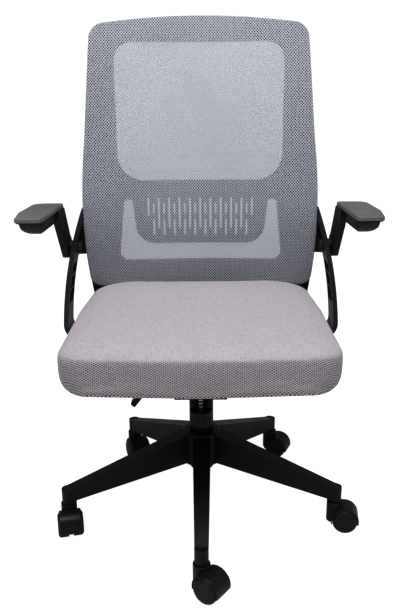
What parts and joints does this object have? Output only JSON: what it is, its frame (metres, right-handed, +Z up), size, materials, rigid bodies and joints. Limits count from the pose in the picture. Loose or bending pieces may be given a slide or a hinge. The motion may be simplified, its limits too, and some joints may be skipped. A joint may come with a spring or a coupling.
{
  "type": "office chair",
  "caption": "Swivel office chair with a mesh back, padded seat, flip-up arms, gas height lift, tilt mechanism and a castor base.",
  "frame": {"origin": "on the floor, on the axis of the gas column", "axes": "+Z up, -Y the way the sitter faces, +X to the sitter's left, which is right in the picture"},
  "size_m": [0.712, 0.6378, 1.0299],
  "materials": {
    "black_plastic": "satin moulded black",
    "castor_plastic": "satin moulded black",
    "wheel_plastic": "smooth hard black tread",
    "bush_plastic": "smooth black",
    "arm_pad_plastic": "fine grained dark grey",
    "black_metal": "semi-gloss black powder coat",
    "steel": "plain zinc-plated steel",
    "dark_bolts": "blackened steel",
    "stop_rubber": "plain black",
    "pan_wood": "plain plywood",
    "seat_fabric": "light warm grey air-mesh over foam",
    "back_fabric": "slate grey open air-mesh"
  },
  "bodies": {
    "base": {"star_base": "black_plastic", "column_tube": "black_metal", "guide_bush": "bush_plastic", "thrust_bearing": "steel"},
    "spindle": {"piston_rod": "steel", "retaining_clip": "steel", "bump_stop": "stop_rubber"},
    "lift": {"gas_cylinder": "black_metal", "mechanism_housing": "black_metal", "tilt_pin": "steel", "lever_pin": "steel", "tilt_spring": "black_metal"},
    "release": {"release_pin": "steel"},
    "lever": {"height_lever": "black_metal", "lever_paddle": "black_plastic"},
    "seat": {"seat_plate": "black_metal", "tension_bolt": "steel", "seat_pan": "pan_wood", "seat_cushion": "seat_fabric", "seat_bolts": "dark_bolts", "upright_left": "black_plastic", "upright_right": "black_plastic", "upright_bolts": "dark_bolts", "back_frame": "black_plastic", "back_mesh": "back_fabric", "back_bolts": "dark_bolts", "arm_pivot_pin_left": "dark_bolts", "arm_pivot_pin_right": "dark_bolts"},
    "knob": {"tension_knob": "black_plastic"},
    "arm_left": {"arm_body_left": "black_plastic", "arm_pad_left": "arm_pad_plastic"},
    "arm_right": {"arm_body_right": "black_plastic", "arm_pad_right": "arm_pad_plastic"},
    "castor_front": {"castor_front_hood": "castor_plastic", "castor_front_pins": "steel"},
    "castor_front_a": {"castor_front_wheel_a": "wheel_plastic"},
    "castor_front_b": {"castor_front_wheel_b": "wheel_plastic"},
    "castor_right_front": {"castor_right_front_hood": "castor_plastic", "castor_right_front_pins": "steel"},
    "castor_right_front_a": {"castor_right_front_wheel_a": "wheel_plastic"},
    "castor_right_front_b": {"castor_right_front_wheel_b": "wheel_plastic"},
    "castor_right_rear": {"castor_right_rear_hood": "castor_plastic", "castor_right_rear_pins": "steel"},
    "castor_right_rear_a": {"castor_right_rear_wheel_a": "wheel_plastic"},
    "castor_right_rear_b": {"castor_right_rear_wheel_b": "wheel_plastic"},
    "castor_left_rear": {"castor_left_rear_hood": "castor_plastic", "castor_left_rear_pins": "steel"},
    "castor_left_rear_a": {"castor_left_rear_wheel_a": "wheel_plastic"},
    "castor_left_rear_b": {"castor_left_rear_wheel_b": "wheel_plastic"},
    "castor_left_front": {"castor_left_front_hood": "castor_plastic", "castor_left_front_pins": "steel"},
    "castor_left_front_a": {"castor_left_front_wheel_a": "wheel_plastic"},
    "castor_left_front_b": {"castor_left_front_wheel_b": "wheel_plastic"}
  },
  "joints": [
    {"name": "seat_swivel", "type": "hinge", "parent": "base", "child": "spindle", "pos_m": [0, 0, 0.106], "axis": [0, 0, 1], "continuous": true},
    {"name": "seat_height", "type": "slide", "parent": "spindle", "child": "lift", "axis": [0, 0, 1], "range_m": [0, 0.09]},
    {"name": "lever_lift", "type": "hinge", "parent": "lift", "child": "lever", "pos_m": [-0.058, 0, 0.33], "axis": [0, 1, 0], "range_deg": [0, 4.5], "stiffness_Nm_per_rad": 2, "springref_deg": -5.73},
    {"name": "release_press", "type": "slide", "parent": "lift", "child": "release", "axis": [0, 0, -1], "range_m": [0, 0.0046]},
    {"name": "seat_tilt", "type": "hinge", "parent": "lift", "child": "seat", "pos_m": [0, -0.055, 0.334], "axis": [-1, 0, 0], "range_deg": [0, 12], "stiffness_Nm_per_rad": 60, "springref_deg": -28.65, "deforming": ["tilt_spring"]},
    {"name": "tension_turn", "type": "hinge", "parent": "seat", "child": "knob", "pos_m": [0, -0.1, 0.257], "axis": [0, 0, 1], "continuous": true},
    {"name": "arm_flip_left", "type": "hinge", "parent": "seat", "child": "arm_left", "pos_m": [-0.3, 0.178, 0.54], "axis": [-1, 0, 0], "range_deg": [0, 90]},
    {"name": "arm_flip_right", "type": "hinge", "parent": "seat", "child": "arm_right", "pos_m": [0.3, 0.178, 0.54], "axis": [-1, 0, 0], "range_deg": [0, 90]},
    {"name": "castor_front_swivel", "type": "hinge", "parent": "base", "child": "castor_front", "pos_m": [0, -0.286, 0.0638], "axis": [0, 0, 1], "continuous": true},
    {"name": "castor_front_roll_a", "type": "hinge", "parent": "castor_front", "child": "castor_front_a", "pos_m": [0.01677, -0.29864, 0.025], "axis": [0.6018, 0.7986, 0], "continuous": true},
    {"name": "castor_front_roll_b", "type": "hinge", "parent": "castor_front", "child": "castor_front_b", "pos_m": [0.01677, -0.29864, 0.025], "axis": [0.6018, 0.7986, 0], "continuous": true},
    {"name": "castor_right_front_swivel", "type": "hinge", "parent": "base", "child": "castor_right_front", "pos_m": [0.272, -0.08838, 0.0638], "axis": [0, 0, 1], "continuous": true},
    {"name": "castor_right_front_roll_a", "type": "hinge", "parent": "castor_right_front", "child": "castor_right_front_a", "pos_m": [0.2928, -0.0913, 0.025], "axis": [0.1392, 0.9903, 0], "continuous": true},
    {"name": "castor_right_front_roll_b", "type": "hinge", "parent": "castor_right_front", "child": "castor_right_front_b", "pos_m": [0.2928, -0.0913, 0.025], "axis": [0.1392, 0.9903, 0], "continuous": true},
    {"name": "castor_right_rear_swivel", "type": "hinge", "parent": "base", "child": "castor_right_rear", "pos_m": [0.16811, 0.23138, 0.0638], "axis": [0, 0, 1], "continuous": true},
    {"name": "castor_right_rear_roll_a", "type": "hinge", "parent": "castor_right_rear", "child": "castor_right_rear_a", "pos_m": [0.18729, 0.22284, 0.025], "axis": [0.4067, 0.9135, 0], "continuous": true},
    {"name": "castor_right_rear_roll_b", "type": "hinge", "parent": "castor_right_rear", "child": "castor_right_rear_b", "pos_m": [0.18729, 0.22284, 0.025], "axis": [0.4067, 0.9135, 0], "continuous": true},
    {"name": "castor_left_rear_swivel", "type": "hinge", "parent": "base", "child": "castor_left_rear", "pos_m": [-0.16811, 0.23138, 0.0638], "axis": [0, 0, 1], "continuous": true},
    {"name": "castor_left_rear_roll_a", "type": "hinge", "parent": "castor_left_rear", "child": "castor_left_rear_a", "pos_m": [-0.15957, 0.21219, 0.025], "axis": [0.9135, 0.4067, 0], "continuous": true},
    {"name": "castor_left_rear_roll_b", "type": "hinge", "parent": "castor_left_rear", "child": "castor_left_rear_b", "pos_m": [-0.15957, 0.21219, 0.025], "axis": [0.9135, 0.4067, 0], "continuous": true},
    {"name": "castor_left_front_swivel", "type": "hinge", "parent": "base", "child": "castor_left_front", "pos_m": [-0.272, -0.08838, 0.0638], "axis": [0, 0, 1], "continuous": true},
    {"name": "castor_left_front_roll_a", "type": "hinge", "parent": "castor_left_front", "child": "castor_left_front_a", "pos_m": [-0.26692, -0.10876, 0.025], "axis": [0.9703, 0.2419, 0], "continuous": true},
    {"name": "castor_left_front_roll_b", "type": "hinge", "parent": "castor_left_front", "child": "castor_left_front_b", "pos_m": [-0.26692, -0.10876, 0.025], "axis": [0.9703, 0.2419, 0], "continuous": true}
  ],
  "couplings": [
    {"joint": "release_press", "follows": "lever_lift", "m_per_rad": 0.058}
  ]
}
